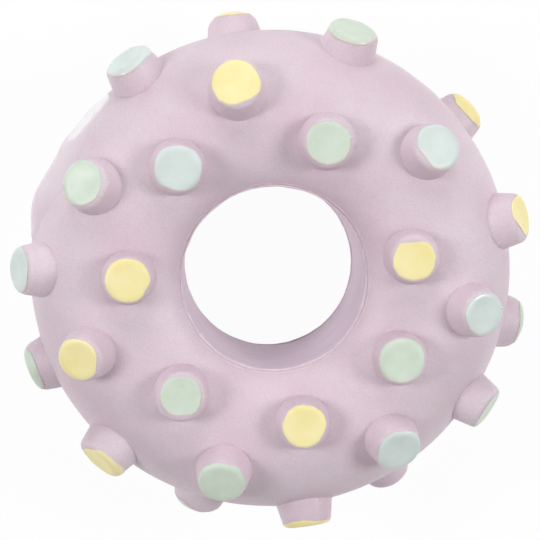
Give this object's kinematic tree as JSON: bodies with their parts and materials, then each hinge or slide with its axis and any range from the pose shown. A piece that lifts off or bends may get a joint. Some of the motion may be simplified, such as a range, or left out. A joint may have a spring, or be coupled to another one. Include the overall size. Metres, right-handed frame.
{
  "type": "donut dog toy",
  "caption": "Soft stuffed latex donut for dogs to chew, with rows of stubby painted nubs all round, a sealed filling hole in the rim and a squeaker inside.",
  "frame": {"origin": "on the surface the toy lies on, on the ring's axis", "axes": "+Z along the ring's axis, up from the back row of nubs that it lies on"},
  "size_m": [0.079, 0.0797, 0.0319],
  "materials": {
    "lilac_latex": "satin matte cast latex with fine pores",
    "clear_latex": "glossy milky latex smear",
    "yellow_paint": "satin latex paint",
    "green_paint": "satin latex paint",
    "aqua_paint": "satin latex paint",
    "wadding": "loose white polyester fibre",
    "soft_plastic": "thin blown polyethylene",
    "hard_plastic": "moulded polypropylene",
    "reed_film": "springy plastic film"
  },
  "bodies": {
    "toy": {"latex_skin": "lilac_latex", "polyester_wadding": "wadding", "filler_patch": "clear_latex", "squeaker_bulb": "soft_plastic", "whistle_tube": "hard_plastic", "reed_seat": "hard_plastic", "reed_clamp": "hard_plastic", "front_inner_tip_1": "yellow_paint", "front_inner_tip_2": "green_paint", "front_inner_tip_3": "aqua_paint", "front_inner_tip_4": "yellow_paint", "front_inner_tip_5": "green_paint", "front_inner_tip_6": "yellow_paint", "front_inner_tip_7": "green_paint", "front_outer_tip_1": "aqua_paint", "front_outer_tip_2": "yellow_paint", "front_outer_tip_3": "green_paint", "front_outer_tip_4": "yellow_paint", "front_outer_tip_5": "green_paint", "front_outer_tip_6": "aqua_paint", "front_outer_tip_7": "aqua_paint", "front_rim_tip_1": "yellow_paint", "front_rim_tip_2": "green_paint", "front_rim_tip_3": "aqua_paint", "front_rim_tip_4": "aqua_paint", "front_rim_tip_5": "yellow_paint", "front_rim_tip_6": "yellow_paint", "front_rim_tip_7": "green_paint", "back_rim_tip_1": "yellow_paint", "back_rim_tip_2": "yellow_paint", "back_rim_tip_3": "green_paint", "back_rim_tip_4": "aqua_paint", "back_rim_tip_5": "yellow_paint", "back_rim_tip_6": "green_paint", "back_outer_tip_1": "aqua_paint", "back_outer_tip_2": "yellow_paint", "back_outer_tip_3": "green_paint", "back_outer_tip_4": "aqua_paint", "back_outer_tip_5": "yellow_paint", "back_outer_tip_6": "green_paint", "back_outer_tip_7": "yellow_paint", "back_inner_tip_1": "green_paint", "back_inner_tip_2": "aqua_paint", "back_inner_tip_3": "yellow_paint", "back_inner_tip_4": "green_paint", "back_inner_tip_5": "aqua_paint", "back_inner_tip_6": "yellow_paint", "back_inner_tip_7": "green_paint"},
    "reed": {"squeaker_reed": "reed_film"}
  },
  "joints": [
    {"name": "reed_flex", "type": "hinge", "parent": "toy", "child": "reed", "pos_m": [-0.02754, 0.0159, 0.01401], "axis": [0.1948, -0.1125, -0.9744], "range_deg": [0, 4], "stiffness_Nm_per_rad": 0.0002}
  ]
}
